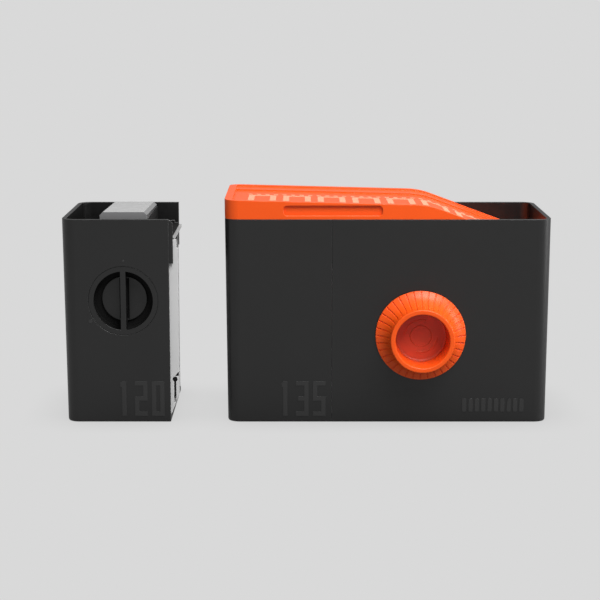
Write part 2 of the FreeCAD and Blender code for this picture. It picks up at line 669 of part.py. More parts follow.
STROKES = {
    "0": [(0, 0, 2, 0), (0, 2, 2, 0), (0, 0, 0, 2), (2, 0, 0, 2)],
    "1": [(1, 0, 0, 2), (0.6, 1.9, 0.4, 0)],
    "2": [(0, 0, 2, 0), (0, 1, 2, 0), (0, 2, 2, 0), (0, 0, 0, 1), (2, 1, 0, 1)],
    "3": [(0, 0, 2, 0), (0.5, 1, 1.5, 0), (0, 2, 2, 0), (2, 0, 0, 2)],
    "5": [(0, 0, 2, 0), (0, 1, 2, 0), (0, 2, 2, 0), (2, 0, 0, 1), (0, 1, 0, 1)],
}


def numerals(text):
    """Raised film format number, low at the front right of a module."""
    wide, high, pen, gap = 7.5, 21.0, 2.6, 2.5
    x = SEAM - 3.6 - len(text) * wide - (len(text) - 1) * gap
    digits = [digit(STROKES[c], x + i * (wide + gap), 3.6, wide, high, pen)
              for i, c in enumerate(text)]
    return relief(Part.makeCompound(digits))


# ---------------------------------------------------------------- 35 mm module
def cassette_cradle():
    """Trough on two legs that holds a film cassette."""
    outer = rod_y(CASSETTE_X, CASSETTE_Z, CASSETTE_R + 1.6, -25.6, 25.6)
    inner = rod_y(CASSETTE_X, CASSETTE_Z, CASSETTE_R, -24.2, 24.2)
    top = box(-FAR, FAR, -FAR, FAR, CASSETTE_Z + 3, FAR)
    spool_ends = rod_y(CASSETTE_X, CASSETTE_Z, 6.0, -FAR, FAR)
    slots = box(CASSETTE_X - 6, CASSETTE_X + 6, -FAR, FAR, CASSETTE_Z, FAR)
    trough = outer.cut(inner).cut(top).cut(spool_ends).cut(slots)
    legs = [box(CASSETTE_X - 12, CASSETTE_X + 12, y, y + 2, FLOOR + 0.1, CASSETTE_Z - 8)
            for y in (-25.6, 23.6)]
    clear = rod_y(CASSETTE_X, CASSETTE_Z, CASSETTE_R, -24.2, 24.2)
    arches = rounded_y(CASSETTE_X - 7, CASSETTE_X + 7, 12, 56, 5, -FAR, FAR)
    feet = [box(CASSETTE_X - 14, CASSETTE_X + 14, y - 4, y + 4, FLOOR + 0.1, FLOOR + 2.1)
            for y in (-24.6, 24.6)]
    return union([trough] + legs).cut(clear).cut(arches).cut(spool_ends).fuse(union(feet))


def cassette_spring():
    """Leaf that presses the cassette towards the film guide."""
    x = CASSETTE_X - CASSETTE_R - 1.6
    leaf = box(x - 0.5, x - 0.1, -7, 7, 70, 104)
    bend = prism_y([(x - 0.5, 103.6), (x + 3.8, 106.6), (x + 3.8, 107.0), (x - 0.5, 104.0)], -7, 7)
    foot = box(x - 0.5, x + 2.6, -7, 7, 69.6, 70.0)
    return union([leaf, bend, foot])


def cutter_slot():
    return rounded_y(CUTTER_X - 1.8, CUTTER_X + 1.8, 84, 102.4, 1.7, 20, 60)


def cutter_carriage():
    """Plate inside the back wall that covers the slot and carries the blade."""
    plate = box(CUTTER_X - 4.5, CUTTER_X + 4.5, 38.9, 40.5, 80.5, 111.7)
    neck = box(CUTTER_X - 1.5, CUTTER_X + 1.5, 40.5, 44.6, 94.5, 101.2)
    arm = box(CUTTER_X - 1.6, CUTTER_X + 1.6, 20.5, 38.9, 109.5, 111.7)
    bridge = box(CUTTER_X - 1.6, CUTTER_X + 1.6, -22.0, 20.5, 109.5, 111.7)
    return union([plate, neck, arm, bridge])


def cutter_blade():
    """Thin blade with a slanted edge, hung under the carriage's bridge."""
    points = [V(CUTTER_X + 1.6, -21, 109.6), V(CUTTER_X + 1.6, 20, 109.6),
              V(CUTTER_X + 1.6, 20, 103.4), V(CUTTER_X + 1.6, -21, 105.4)]
    face = Part.Face(Part.makePolygon(points + points[:1]))
    return face.extrude(V(0.5, 0, 0))


def cutter_slider():
    """Ribbed orange thumb pad on the back wall."""
    pad = rounded_y(CUTTER_X - 6, CUTTER_X + 6, 91.5, 105.0, 2.0, 44.6, 46.8)
    ribs = [box(CUTTER_X - 4.5, CUTTER_X + 4.5, 46.7, 47.4, z, z + 0.9)
            for z in (94.2, 96.6, 99.0, 101.4)]
    return union([pad] + ribs)


def cutter_spring():
    """Return spring under the carriage, drawn as its separate turns."""
    turns = [Part.makeTorus(1.5, 0.35, V(CUTTER_X, 38.7 - 1.95, z), Z_AXIS)
             for z in (66.4, 69.0, 71.6, 74.2, 76.8, 79.4)]
    return Part.makeCompound(turns)


def cutter_bracket():
    """Bracket inside the back wall: guides the carriage and seats its spring."""
    rails = [box(CUTTER_X + dx, CUTTER_X + dx + 1.6, 37.6, 40.7, 64, 111.7) for dx in (-6.4, 4.8)]
    seat = box(CUTTER_X - 4.8, CUTTER_X + 4.8, 33.8, 40.7, 63.9, 65.9)
    return union([seat] + rails)


def cutter_foot():
    """Finger of the carriage that presses on the spring."""
    return box(CUTTER_X - 1.6, CUTTER_X + 1.6, 34.9, 38.9, 80.5, 82.2)


def web_felt(half):
    """Light-seal strip laid on the guide's web under the film."""
    w0 = SEAM + GUIDE_WEB[0]
    return box(w0 - 0.8, w0, -half, half, GUIDE_WEB_TOP - 9, GUIDE_WEB_TOP - 1.8)


def slot_roof(half):
    """Bar across the top of the film slot, between the cheeks."""
    w0 = SEAM + GUIDE_WEB[0]
    bar = box(w0, w0 + 3.0, -CHEEK_OUT + CHEEK, CHEEK_OUT - CHEEK, 104.0, 107.4)
    relief_cut = box(w0 - 1, w0 + 4, -half, half, 103.0, 104.8)
    return bar.cut(relief_cut)


def slot_felt(half):
    """Light-seal strip under the slot's roof."""
    w0 = SEAM + GUIDE_WEB[0]
    return box(w0 + 0.3, w0 + 2.7, -half + 0.3, half - 0.3, 103.4, 104.8)


# ---------------------------------------------------------------- medium-format module
def dial_hole():
    return rod_y(DIAL_X, DIAL_Z, DIAL_R + 0.2, -60, -35)


def winding_dial():
    """Dial face: flush ring, bar across it and a sunken disc."""
    ring = ring_y(DIAL_X, DIAL_Z, DIAL_R, DIAL_OPEN_R, DIAL_FACE, DIAL_FACE + 2.0)
    disc_y = DIAL_FACE + DISC_DEPTH
    disc = rod_y(DIAL_X, DIAL_Z, DISC_R, disc_y, disc_y + 1.4)
    gap = BAR / 2 + BAR_GROOVE
    channel = box(DIAL_X - gap, DIAL_X + gap, -60, 0, DIAL_Z - DISC_R + 1, DIAL_Z + DISC_R - 1)
    bar = box(DIAL_X - BAR / 2, DIAL_X + BAR / 2, DIAL_FACE, disc_y + 1.4, -FAR, FAR)
    bar = bar.common(rod_y(DIAL_X, DIAL_Z, DIAL_OPEN_R + 0.4, -60, -30))
    return union([ring, disc.cut(channel), bar])


def dial_cup():
    """Cup behind the dial face, closed at the back against light."""
    back = DIAL_FACE + CUP_DEPTH
    cup = rod_y(DIAL_X, DIAL_Z, DIAL_OPEN_R + 1.2, DIAL_FACE + 2.0, back)
    room = rod_y(DIAL_X, DIAL_Z, DIAL_OPEN_R + 0.4, -60, back - 1.2)
    seat = rod_y(DIAL_X, DIAL_Z, DIAL_OPEN_R + 0.4, DIAL_FACE, DIAL_FACE + 2.0)
    return cup.cut(room).cut(seat)


def spool_key():
    """Flat key on a peg that drives the film spool's slot."""
    back = DIAL_FACE + CUP_DEPTH
    peg = rod_y(DIAL_X, DIAL_Z, 2.7, back, back + 3.6)
    blade = box(DIAL_X - 0.8, DIAL_X + 0.8, back, back + 3.0, DIAL_Z - 4.5, DIAL_Z + 4.5)
    return peg.fuse(blade).removeSplitter()


def dial_collar():
    """Fixed ring behind the front wall that carries the dial."""
    return ring_y(DIAL_X, DIAL_Z, 23.0, DIAL_OPEN_R + 1.4, -41.0, -38.2)


def dial_clip():
    """Ring on the cup that keeps the dial against its collar."""
    clip = ring_y(DIAL_X, DIAL_Z, 20.2, DIAL_OPEN_R + 1.2, -37.8, -37.0)
    return clip.cut(box(DIAL_X - 3, DIAL_X + 3, -60, 0, DIAL_Z - 30, DIAL_Z))


def dial_marks():
    """Raised index dots: small at the top, large at the lower left."""
    small = rod_y(DIAL_X + 0.4, DIAL_Z + 23.5, 0.75, -60, -30)
    large = rod_y(DIAL_X - 19.2, DIAL_Z - 12.1, 1.2, -60, -30)
    return relief(Part.makeCompound([small, large]))


def u_section(radius, y0, y1, top):
    """Round-bottomed upright slot about the dial's axis."""
    round_part = rod_y(DIAL_X, DIAL_Z, radius, y0, y1)
    return round_part.fuse(box(DIAL_X - radius, DIAL_X + radius, y0, y1, DIAL_Z, top))


def film_box():
    """Chute that holds the film roll on the dial's axis."""
    outer = u_section(SPOOL_R + BOX_WALL, BOX_FRONT, BOX_BACK, BOX_TOP)
    inner = u_section(SPOOL_R, BOX_FRONT + 1.2, BOX_BACK - BOX_WALL, BOX_TOP + 1)
    key_hole = rod_y(DIAL_X, DIAL_Z, 6.0, -60, 0)
    peg_hole = rod_y(DIAL_X, DIAL_Z, 2.8, 0, 60)
    exit_slot = box(DIAL_X, FAR, -31.5, 31.5, 98.5, 104.5)
    legs = [box(DIAL_X - 11, DIAL_X + 11, y, y + 2, FLOOR + 0.1, DIAL_Z - 6) for y in (-27, 27)]
    arch = rounded_y(DIAL_X - 7, DIAL_X + 7, 10, 50, 5, -60, 60)
    feet = [box(DIAL_X - 13, DIAL_X + 13, y - 3, y + 5, FLOOR + 0.1, FLOOR + 2.1) for y in (-27, 27)]
    body = union([outer] + legs).cut(arch).fuse(union(feet))
    return body.cut(inner).cut(union([key_hole, peg_hole, exit_slot]))


def film_ramp():
    """Curved plate that leads the film from the box to the guide."""
    x0 = DIAL_X + SPOOL_R + BOX_WALL + 0.2
    x1 = SEAM + GUIDE_WEB[0] - 1.0
    ramp = box(x0, x1, -31.4, 31.4, 95.4, 96.8)
    drop = box(x0, x0 + 1.4, -31.4, 31.4, 86.0, 96.8)
    return ramp.fuse(drop).removeSplitter()


def film_box_cap():
    """Grey cap with chamfered sides; its top falls slightly towards the back."""
    half = SPOOL_R + BOX_WALL - 0.6
    front, back, low = -34.0, 34.0, BOX_TOP + 0.2
    top_front, top_back = 123.6, 121.7
    chamfer = 1.8
    sections = []
    for y, top in ((front, top_front), (back, top_back)):
        points = [(-half, low), (half, low), (half, top - chamfer), (half - chamfer, top),
                  (-half + chamfer, top), (-half, top - chamfer)]
        corners = [V(DIAL_X + x, y, z) for x, z in points]
        sections.append(Part.makePolygon(corners + corners[:1]))
    plate = Part.makeLoft(sections, True, True)
    plug = box(DIAL_X - SPOOL_R + CLEAR, DIAL_X + SPOOL_R - CLEAR, -30.0, 33.5, 114.5, low)
    room = box(DIAL_X - SPOOL_R + 2, DIAL_X + SPOOL_R - 2, -28.0, 31.5, 113.0, low)
    return plate.fuse(plug.cut(room)).removeSplitter()


def spool_peg():
    """Sprung peg for the spool's rear end."""
    nose = rod_y(DIAL_X, DIAL_Z, 2.7, 31.4, 36.1)
    flange = rod_y(DIAL_X, DIAL_Z, 4.4, 36.1, 37.3)
    return nose.fuse(flange).removeSplitter()


def peg_spring():
    turns = [Part.makeTorus(3.2, 0.3, V(DIAL_X, y, DIAL_Z), Y_AXIS)
             for y in (37.65, 38.4, 39.15, 39.9)]
    return Part.makeCompound(turns)


def peg_housing():
    """Cup on the back wall around the peg's spring."""
    tube = ring_y(DIAL_X, DIAL_Z, 6.2, 4.7, 36.0, 40.3)
    base = rod_y(DIAL_X, DIAL_Z, 6.2, 40.3, 41.1)
    return tube.fuse(base).removeSplitter()


def film_flap():
    """Leaf over the film slot, hinged at its back so that film can be laid in."""
    half = CHEEK_OUT - CHEEK - CLEAR
    leaf = box(FLAP_X, SEAM + 0.2, -half, half, FLAP_Z - 0.8, FLAP_Z + 0.8)
    tongue = box(SEAM, LIP[0], -LIP_HALF, LIP_HALF, FLAP_Z - 0.8, FLAP_Z + 0.8)
    barrel = rod_y(FLAP_X, FLAP_Z, 1.5, -half, half)
    bore = rod_y(FLAP_X, FLAP_Z, 0.8 + RUNNING, -60, 60)
    return union([leaf, tongue, barrel]).cut(bore)


def flap_lip():
    """Light lip along the leaf's free edge, to lift it by."""
    return box(*LIP, -LIP_HALF, LIP_HALF, FLAP_Z - 1.1, FLAP_Z + 0.8)


def flap_pin():
    return rod_y(FLAP_X, FLAP_Z, 0.8, -CHEEK_OUT + 0.2, CHEEK_OUT - 0.2)


def flap_brackets():
    """Two arms on the film guide that hold the flap's hinge pin."""
    arm = box(FLAP_X - 2.2, SEAM + GUIDE_WEB[0], CHEEK_OUT - CHEEK, CHEEK_OUT,
              FLAP_Z - 4.1, FLAP_Z + 2.1)
    hole = rod_y(FLAP_X, FLAP_Z, 0.82, -60, 60)
    return Part.makeCompound([shape.cut(hole) for shape in mirrored(arm)])


# ---------------------------------------------------------------- build
def build_tank():
    keep("tank_body", tank_body())
    keep("light_baffle", light_baffle())
    keep("knob_bush", knob_bush())
    keep("shaft_seal", shaft_seal())
    keep("rear_pivot", rear_pivot().cut(rear_pivot_screws()))
    keep("rear_pivot_screws", rear_pivot_screws())
    keep("tank_mark", tank_mark())


def build_reel():
    front = reel_half()
    keep("reel_half_front", front)
    keep("reel_half_back", front.mirror(V(0, 0, 0), Y_AXIS))
    keep("reel_core", reel_core())
    keep("core_clip", core_clip())
    keep("winding_knob", winding_knob())
    keep("knob_cover", knob_cover())
    keep("knob_screw", knob_screw())
    keep("drive_shaft", drive_shaft())
    keep("shaft_ring", shaft_ring())


def build_lid():
    keep("lid_cover", lid_cover())
    keep("lid_film_print", lid_film_print())
    keep("lid_liner", lid_liner())
    keep("lid_felt", lid_felt())


def build_module_135():
    keep("module_135_shell", module_shell().cut(screw_room()).cut(cutter_slot()))
    keep("film_guide_135", film_guide(18.2).cut(screw_room()))
    keep("slot_roof_135", slot_roof(18.2))
    keep("slot_felt_135", slot_felt(18.2))
    keep("web_felt_135", web_felt(18.2))
    keep("click_stud_135", click_stud())
    keep("guide_screws_135", guide_screws())
    keep("numerals_135", numerals("135"))
    keep("cassette_cradle", cassette_cradle())
    keep("cassette_spring", cassette_spring())
    keep("cutter_bracket", cutter_bracket())
    keep("cutter_carriage", cutter_carriage().fuse(cutter_foot()).removeSplitter())
    keep("cutter_blade", cutter_blade())
    keep("cutter_slider", cutter_slider())
    keep("cutter_spring", cutter_spring())


def build_module_120():
    """Medium-format module: modelled in the fitted position, then moved to the left."""
    module = {
        "module_120_shell": module_shell().cut(screw_room()).cut(dial_hole()),
        "film_guide_120": film_guide(31.4).cut(screw_room()),
        "web_felt_120": web_felt(31.4),
        "click_stud_120": click_stud(),
        "guide_screws_120": guide_screws(),
        "numerals_120": numerals("120"),
        "winding_dial": winding_dial(),
        "dial_cup": dial_cup(),
        "spool_key": spool_key(),
        "dial_clip": dial_clip(),
        "dial_collar": dial_collar(),
        "dial_marks": dial_marks(),
        "film_box": film_box(),
        "film_ramp": film_ramp(),
        "film_box_cap": film_box_cap(),
        "spool_peg": spool_peg(),
        "peg_spring": peg_spring(),
        "peg_housing": peg_housing(),
        "film_flap": film_flap(),
        "flap_lip": flap_lip(),
        "flap_pin": flap_pin(),
        "flap_brackets": flap_brackets(),
    }
    for name, shape in module.items():
        keep(name, moved(shape, dx=MODULE_SHIFT))


build_tank()
build_reel()
build_lid()
build_module_135()
build_module_120()

for name, shape in parts.items():
    shape.exportStep(f"parts/{name}.step")
    print(f"{name}: {len(shape.Solids)} solids, {shape.Volume / 1000:.2f} cm3, valid {shape.isValid()}")
print(len(parts), "nodes")
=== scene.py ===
"""Studio scene of the film developing tank: camera, light, floor, materials and finer pieces.

Lengths are in metres, in the CAD model's frame: +X right, -Y front, +Z up.
"""
import json
import math
import bpy
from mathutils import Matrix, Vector


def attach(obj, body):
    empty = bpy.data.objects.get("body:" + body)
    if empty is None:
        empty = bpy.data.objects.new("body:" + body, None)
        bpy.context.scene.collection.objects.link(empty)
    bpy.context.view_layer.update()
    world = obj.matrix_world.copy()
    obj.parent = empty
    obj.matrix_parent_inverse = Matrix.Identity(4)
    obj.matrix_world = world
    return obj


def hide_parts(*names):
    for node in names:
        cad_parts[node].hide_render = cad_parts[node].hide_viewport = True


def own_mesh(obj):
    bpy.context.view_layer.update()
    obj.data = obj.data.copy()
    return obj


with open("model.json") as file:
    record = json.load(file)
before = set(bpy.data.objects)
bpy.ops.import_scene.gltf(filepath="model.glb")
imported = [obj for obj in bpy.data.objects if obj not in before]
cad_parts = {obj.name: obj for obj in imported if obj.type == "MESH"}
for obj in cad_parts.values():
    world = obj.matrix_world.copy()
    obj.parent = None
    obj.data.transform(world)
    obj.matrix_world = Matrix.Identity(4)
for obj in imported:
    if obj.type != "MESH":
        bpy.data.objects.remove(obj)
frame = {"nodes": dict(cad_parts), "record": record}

NODES = frame["nodes"]
BODIES = frame["record"]["behaviour"]["bodies"]
BODY_OF = {node: body for body, nodes in BODIES.items() for node in nodes}
SLOT_OF = {part["node"]: part["material_slot"] for part in frame["record"]["subparts"]}
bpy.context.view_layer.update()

# Camera
CAMERA_AT = Vector((-0.0505, -1.0149, 0.2454))
CAMERA_DOWN = 0.1755         # radians below level
CAMERA_RIGHT = -0.0007       # radians towards +X
CAMERA_LENS = 101.45         # mm
SENSOR_WIDTH = 36.0          # mm
NEAR_CLIP = 0.05

# Studio, as linear brightness
BACKDROP = 0.694             # floor and backdrop as the camera sees them
ROOM_FRONT = 0.12            # the room's glow from in front, which lights the object
ROOM_BACK = 0.38             # the same from behind
CANOPY = 0.45                # large diffuser overhead, brightest straight towards CANOPY_AT
CANOPY_AT = (0.2, -0.5, 0.84)
FLOOR_BOUNCE = 0.22          # the floor's glow on the object
FLOOR_GLOSS = 0.62           # the floor as the object's glossy faces reflect it
CONTACT_SHADE = 0.14         # how much darker the floor is where it is covered
SHADE_REACH = 0.03           # how near a piece has to be to shade the floor
GLOSS_REACH = 0.12           # the same for the floor in glossy faces
FLOOR_HALF = 20.0            # half the floor's width
LIT_SPOT = Vector((0.0, 0.0, 0.06))
SOFTBOXES = {                # place, width, height and power in watts
    "key": ((0.32, -0.66, 1.1), 0.8, 0.8, 20.0),
    "right": ((0.95, -0.05, 0.35), 0.5, 0.7, 5.3),
}

# Regions of a material painted in another colour, as two corners in the frame; each is painted
# shade.
# Inside of the tank and the fitted module, between its walls and above its floor: painted shade,
# a darker black
TANK_INSIDE_SHADE = ((-0.0926, -0.04165, 0.0012), (0.0926, 0.04165, 0.1209))
LOOSE_MODULE = -0.0949       # the free-standing module, measured from the fitted position
# Floor of the knob's cup, painted darker: painted shade from the cup's walls
KNOB_CUP_SHADE = ((0.0044, -0.0485, 0.0373), (0.0344, -0.0455, 0.0673))
# Top of the film guides, behind their front cheeks, painted black: painted shade inside the
# modules
GUIDE_SLOT_SHADE = ((-0.2, -0.0386, 0.0925), (0.0, 0.06, 0.12))
# Nodes whose material isn't the one of their slot
FINISH_OF = {"module_120_shell": "loose_shell"}

# Springs: where they start, how they run, their wire's radius and their number of turns
CUTTER_SEAT = Vector((-0.042, 0.03675, 0.0659))
CUTTER_RUN = Vector((0, 0, 0.0146))
CUTTER_RADIUS = 0.0015
CUTTER_WIRE = 0.0003
CUTTER_TURNS = 7
PEG_SEAT = Vector((-0.1544, 0.0403, 0.0726))
PEG_RUN = Vector((0, -0.003, 0))
PEG_RADII = (0.0041, 0.0026)
PEG_WIRE = 0.00022
PEG_TURNS = 4
TURN_STEPS = 24              # sections along one turn
WIRE_SIDES = 10


# ---------------------------------------------------------------- material nodes
def new_material(name):
    """A node material, its tree and its Principled shader."""
    material = bpy.data.materials.new(name)
    material.use_nodes = True
    tree = material.node_tree
    return material, tree, tree.nodes["Principled BSDF"]


def add(tree, kind, **settings):
    """A new node of a kind, with its own settings."""
    node = tree.nodes.new(kind)
    for key, value in settings.items():
        setattr(node, key, value)
    return node


def noise(tree, scale, detail=3.0, rough=0.55, stretch=(1, 1, 1)):
    """Noise in object space; stretch multiplies the scale along each axis."""
    where = add(tree, "ShaderNodeTexCoord")
    mapping = add(tree, "ShaderNodeMapping")
    mapping.inputs["Scale"].default_value = stretch
    texture = add(tree, "ShaderNodeTexNoise")
    texture.inputs["Scale"].default_value = scale
    texture.inputs["Detail"].default_value = detail
    texture.inputs["Roughness"].default_value = rough
    tree.links.new(where.outputs["Object"], mapping.inputs["Vector"])
    tree.links.new(mapping.outputs["Vector"], texture.inputs["Vector"])
    return texture.outputs["Fac"]


def ramp(tree, factor, low, high, out_low, out_high):
    """Factor mapped from low..high to out_low..out_high, clamped."""
    node = add(tree, "ShaderNodeMapRange")
    node.inputs["From Min"].default_value = low
    node.inputs["From Max"].default_value = high
    node.inputs["To Min"].default_value = out_low
    node.inputs["To Max"].default_value = out_high
    tree.links.new(factor, node.inputs["Value"])
    return node.outputs["Result"]


def product(tree, first, second):
    """Product of two sockets."""
    node = add(tree, "ShaderNodeMath", operation="MULTIPLY")
    tree.links.new(first, node.inputs[0])
    tree.links.new(second, node.inputs[1])
    return node.outputs[0]


def mix_colour(tree, factor, first, second):
    """Mix of two colours or sockets by a factor socket."""
    node = add(tree, "ShaderNodeMix", data_type="RGBA")
    tree.links.new(factor, node.inputs["Factor"])
    for socket, value in ((node.inputs["A"], first), (node.inputs["B"], second)):
        if isinstance(value, bpy.types.NodeSocket):
            tree.links.new(value, socket)
        else:
            socket.default_value = (*value, 1.0)
    return node.outputs["Result"]


def within(tree, low, high):
    """Mask that is 1 inside a box given by two corners in object space."""
    where = add(tree, "ShaderNodeTexCoord")
    split = add(tree, "ShaderNodeSeparateXYZ")
    tree.links.new(where.outputs["Object"], split.inputs[0])
    mask = None
    for axis, (start, end) in enumerate(zip(low, high)):
        near = add(tree, "ShaderNodeMath", operation="COMPARE")
        tree.links.new(split.outputs[axis], near.inputs[0])
        near.inputs[1].default_value = (start + end) / 2
        near.inputs[2].default_value = (end - start) / 2
        mask = product(tree, mask, near.outputs[0]) if mask else near.outputs[0]
    return mask


def upward(tree):
    """Mask that is 1 on faces that look up."""
    geometry = add(tree, "ShaderNodeNewGeometry")
    split = add(tree, "ShaderNodeSeparateXYZ")
    tree.links.new(geometry.outputs["Normal"], split.inputs[0])
    return ramp(tree, split.outputs["Z"], 0.75, 0.98, 0.0, 1.0)


def rounded_edges(tree, radius):
    """Normal that rounds sharp edges, and a mask that is 1 on them."""
    bevel = add(tree, "ShaderNodeBevel", samples=6)
    bevel.inputs["Radius"].default_value = radius
    geometry = add(tree, "ShaderNodeNewGeometry")
    dot = add(tree, "ShaderNodeVectorMath", operation="DOT_PRODUCT")
    tree.links.new(bevel.outputs["Normal"], dot.inputs[0])
    tree.links.new(geometry.outputs["Normal"], dot.inputs[1])
    mask = ramp(tree, dot.outputs["Value"], 0.995, 0.88, 0.0, 1.0)
    return bevel.outputs["Normal"], mask


def bump(tree, height, strength, distance, normal):
    """Normal with a height socket pressed into it, distance deep."""
    node = add(tree, "ShaderNodeBump")
    node.inputs["Strength"].default_value = strength
    node.inputs["Distance"].default_value = distance
    tree.links.new(height, node.inputs["Height"])
    tree.links.new(normal, node.inputs["Normal"])
    return node.outputs["Normal"]


def moulded_plastic(name, colour, worn_and_highlight_colour, rough, grain=2600.0, grain_depth=0.00003,
                    edge=0.0004, edge_wear_and_highlight=0.5, variation=0.06, specular=0.5,
                    region=None, painted_shade_colour=None, painted_top_light=None):
    """Injection-moulded plastic: fine grain, slight colour variation, and edges lightened in
    patches, partly rubbing and partly a painted edge highlight.

    Inside region, a box, the colour is replaced by a painted shade colour; faces that look up can
    be painted lighter, a painted highlight on the top."""
    material, tree, shader = new_material(name)
    normal, edges = rounded_edges(tree, edge)
    cloud = noise(tree, 38.0, 4.0)
    dark = tuple(c * (1 - variation) for c in colour)
    light = tuple(min(1.0, c * (1 + variation)) for c in colour)
    base = mix_colour(tree, ramp(tree, cloud, 0.3, 0.7, 0.0, 1.0), dark, light)
    # Inside the region box the colour is replaced by painted shade.
    if region:
        base = mix_colour(tree, within(tree, *region), base, painted_shade_colour)
    # Faces that look up are painted lighter: a painted highlight on the top.
    if painted_top_light:
        base = mix_colour(tree, upward(tree), base, painted_top_light)
    # Edges are painted lighter in patches: partly rubbing, partly a painted edge highlight.
    rubbed_and_lit = ramp(tree, noise(tree, 160.0, 5.0), 0.35, 0.65, 0.4 * edge_wear_and_highlight, edge_wear_and_highlight)
    wear_and_highlight = product(tree, edges, rubbed_and_lit)
    tree.links.new(mix_colour(tree, wear_and_highlight, base, worn_and_highlight_colour), shader.inputs["Base Color"])
    gloss = noise(tree, 210.0, 5.0, 0.65)
    tree.links.new(ramp(tree, gloss, 0.3, 0.7, rough - 0.04, rough + 0.05),
                   shader.inputs["Roughness"])
    grains = noise(tree, grain, 2.0, 0.5)
    tree.links.new(bump(tree, grains, 0.35, grain_depth, normal), shader.inputs["Normal"])
    shader.inputs["IOR"].default_value = 1.5
    shader.inputs["Specular IOR Level"].default_value = specular
    return material


def felt_cloth(name):
    """Short black pile: matted fibres at two scales, with sheen."""
    material, tree, shader = new_material(name)
    normal, _ = rounded_edges(tree, 0.0004)
    fibres = noise(tree, 1500.0, 8.0, 0.75, (1.0, 3.0, 1.0))
    clumps = noise(tree, 240.0, 4.0, 0.6)
    tone = mix_colour(tree, ramp(tree, fibres, 0.35, 0.7, 0.0, 1.0), (0.004, 0.004, 0.0045),
                      (0.02, 0.02, 0.021))
    tree.links.new(tone, shader.inputs["Base Color"])
    height = add(tree, "ShaderNodeMath", operation="ADD")
    tree.links.new(fibres, height.inputs[0])
    tree.links.new(clumps, height.inputs[1])
    tree.links.new(bump(tree, height.outputs[0], 0.9, 0.0003, normal), shader.inputs["Normal"])
    shader.inputs["Roughness"].default_value = 0.95
    shader.inputs["Sheen Weight"].default_value = 0.35
    shader.inputs["Sheen Roughness"].default_value = 0.5
    return material


def seal_rubber(name):
    """Black rubber with a faint grey bloom."""
    material, tree, shader = new_material(name)
    normal, edges = rounded_edges(tree, 0.0003)
    bloom = noise(tree, 320.0, 6.0, 0.7)
    tone = mix_colour(tree, ramp(tree, bloom, 0.4, 0.75, 0.0, 1.0), (0.007, 0.007, 0.007),
                      (0.022, 0.022, 0.021))
    # Edges are painted lighter grey: a painted edge highlight.
    tree.links.new(mix_colour(tree, edges, tone, (0.03, 0.03, 0.03)), shader.inputs["Base Color"])
    tree.links.new(ramp(tree, bloom, 0.3, 0.7, 0.62, 0.8), shader.inputs["Roughness"])
    tree.links.new(bump(tree, bloom, 0.3, 0.00005, normal), shader.inputs["Normal"])
    return material


def brushed_steel(name):
    """Steel with fine brush lines along X, and small edges painted bright: a painted highlight.
    """
    material, tree, shader = new_material(name)
    normal, edges = rounded_edges(tree, 0.00015)
    lines = noise(tree, 900.0, 4.0, 0.6, (0.05, 1.0, 1.0))
    tone = mix_colour(tree, ramp(tree, lines, 0.3, 0.7, 0.0, 1.0), (0.42, 0.42, 0.43),
                      (0.62, 0.62, 0.63))
    # Edges are painted brighter: a painted highlight.
    tree.links.new(mix_colour(tree, edges, tone, (0.8, 0.8, 0.8)), shader.inputs["Base Color"])
    tree.links.new(ramp(tree, lines, 0.3, 0.7, 0.22, 0.38), shader.inputs["Roughness"])
    tree.links.new(bump(tree, lines, 0.2, 0.00002, normal), shader.inputs["Normal"])
    shader.inputs["Metallic"].default_value = 1.0
    return material


def printed_ink(name):
    """Cream ink with small pinholes and slightly uneven cover."""
    material, tree, shader = new_material(name)
    normal, _ = rounded_edges(tree, 0.0001)
    cover = noise(tree, 700.0, 6.0, 0.7)
    tone = mix_colour(tree, ramp(tree, cover, 0.35, 0.65, 0.0, 1.0), (0.8, 0.31, 0.17),
                      (0.9, 0.38, 0.23))
    tree.links.new(tone, shader.inputs["Base Color"])
    tree.links.new(ramp(tree, cover, 0.3, 0.7, 0.42, 0.55), shader.inputs["Roughness"])
    tree.links.new(bump(tree, cover, 0.2, 0.00002, normal), shader.inputs["Normal"])
    return material


def shifted(corners, dx):
    """Two corners moved along X."""
    return tuple((x + dx, y, z) for x, y, z in corners)


